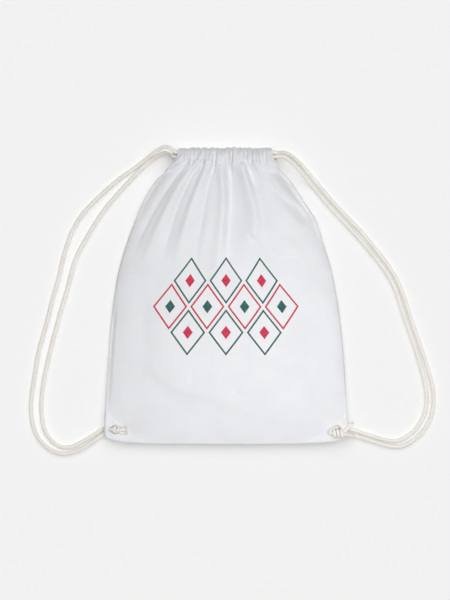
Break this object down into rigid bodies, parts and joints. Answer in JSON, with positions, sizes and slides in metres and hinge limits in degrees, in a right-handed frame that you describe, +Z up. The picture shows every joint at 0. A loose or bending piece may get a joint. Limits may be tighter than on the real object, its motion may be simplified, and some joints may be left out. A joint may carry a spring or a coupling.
{
  "type": "drawstring bag",
  "caption": "Flat cloth drawstring bag lying on its back, mouth gathered on cords that run from the channel to knots at the reinforced bottom corners.",
  "frame": {"origin": "centre of the bag's footprint on the surface it lies on, cords not counted", "axes": "+X across the bag, +Y from the bottom seam to the gathered mouth, +Z up, out of the front panel"},
  "size_m": [0.5868, 0.4457, 0.0469],
  "materials": {
    "cloth": "plain woven cotton, matt",
    "patch": "plain woven cotton, matt, doubled",
    "cord": "twisted cotton cord, undyed"
  },
  "bodies": {
    "root": {"front_panel": "cloth", "back_panel": "cloth", "corner_patch_left": "patch", "corner_patch_right": "patch", "cord_left": "cord", "cord_right": "cord", "knot_left": "cord", "knot_right": "cord"}
  },
  "joints": []
}
